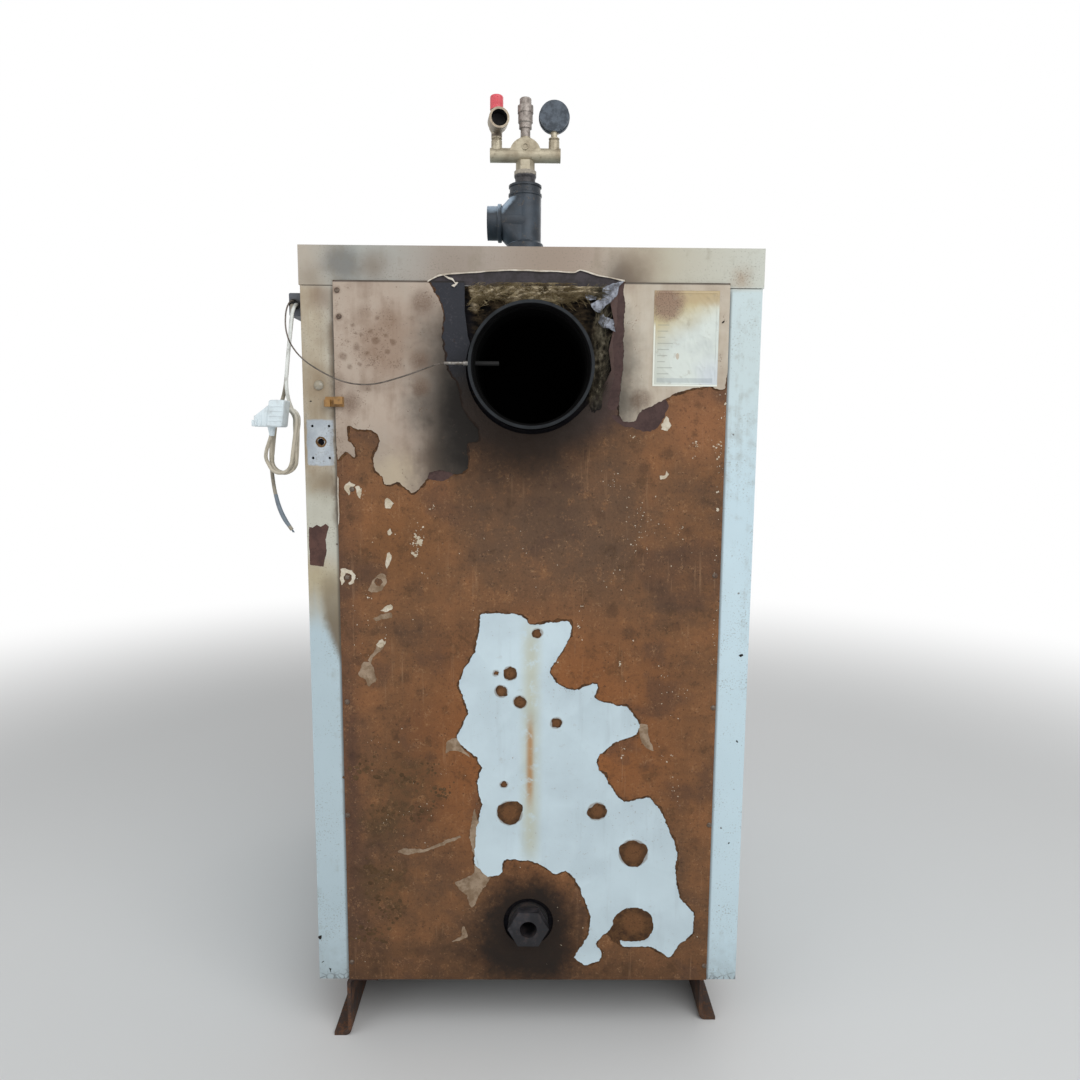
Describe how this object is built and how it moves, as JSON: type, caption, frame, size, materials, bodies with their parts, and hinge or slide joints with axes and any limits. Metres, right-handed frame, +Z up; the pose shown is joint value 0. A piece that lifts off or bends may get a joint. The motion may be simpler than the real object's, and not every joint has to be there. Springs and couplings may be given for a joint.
{
  "type": "wood gasification boiler",
  "caption": "Floor-standing wood gasification boiler: insulated sheet casing on foot rails, rear flue spigot, return bush, flow tee with safety group, front doors.",
  "frame": {"origin": "on the floor at the middle of the boiler's footprint, cords left out", "axes": "+Z up from the floor, -Y out of the rear with the flue and return, +Y out of the front with the doors, X across the width"},
  "size_m": [0.6638, 0.9665, 1.3839],
  "materials": {
    "rusted_steel_plate": "rusted dark brown steel",
    "vessel_steel": "sooted mild steel",
    "mineral_wool": "yellow-brown mineral wool mat",
    "rear_panel_rust": "pale paint flaked off rusty sheet",
    "casing_paint": "pale grey-blue powder coat, scorched near the flue",
    "black_steel": "sooted black steel",
    "probe_steel": "dull steel tube",
    "malleable_iron": "dark blue-grey malleable iron",
    "old_brass": "dull dirty brass",
    "red_cap": "faded red moulded plastic",
    "gauge_case": "weathered dark grey case",
    "clear_glass": "clear glass",
    "amber_plastic": "yellowed plastic",
    "grey_plastic": "dark grey plastic",
    "black_rubber": "black rubber",
    "white_lead": "white flexible sheath, grubby",
    "grey_lead": "grey-white flexible sheath, grubby",
    "white_plug": "white moulded plastic",
    "capillary": "tarnished capillary tube",
    "door_enamel": "dark grey heat-proof paint",
    "handle_steel": "black painted steel",
    "fascia_paint": "dark grey paint",
    "dial_bezel": "bright bezel",
    "black_plastic": "black moulded plastic"
  },
  "bodies": {
    "boiler": {"left_foot_rail": "rusted_steel_plate", "right_foot_rail": "rusted_steel_plate", "boiler_vessel": "vessel_steel", "mineral_wool": "mineral_wool", "rear_panel": "rear_panel_rust", "left_side_panel": "casing_paint", "right_side_panel": "casing_paint", "top_cover": "casing_paint", "front_panel": "casing_paint", "flue_spigot": "black_steel", "flue_probe": "probe_steel", "return_socket": "black_steel", "return_bush": "black_steel", "flow_pipe": "malleable_iron", "flow_tee": "malleable_iron", "reducing_bush": "black_steel", "safety_manifold": "old_brass", "safety_valve": "old_brass", "air_vent": "old_brass", "pressure_gauge": "gauge_case", "gauge_glass": "clear_glass", "cable_clip": "amber_plastic", "cable_outlet_box": "grey_plastic", "cable_bushing": "black_rubber", "mains_lead": "white_lead", "mains_hank": "white_lead", "mains_plug": "white_plug", "cut_lead": "grey_lead", "flue_capillary": "capillary", "loading_door": "door_enamel", "loading_door_hinges": "handle_steel", "loading_door_handle": "handle_steel", "lower_door": "door_enamel", "lower_door_hinges": "handle_steel", "lower_door_handle": "handle_steel", "air_box": "door_enamel", "control_fascia": "fascia_paint", "thermometer": "dial_bezel", "thermostat_knob": "black_plastic", "power_switch": "black_plastic"},
    "test_cap": {"safety_valve_cap": "red_cap"}
  },
  "joints": [
    {"name": "test_cap_turn", "type": "hinge", "parent": "boiler", "child": "test_cap", "pos_m": [-0.056, -0.2045, 1.36339], "axis": [0, 0, 1], "range_deg": [0, 90]}
  ]
}
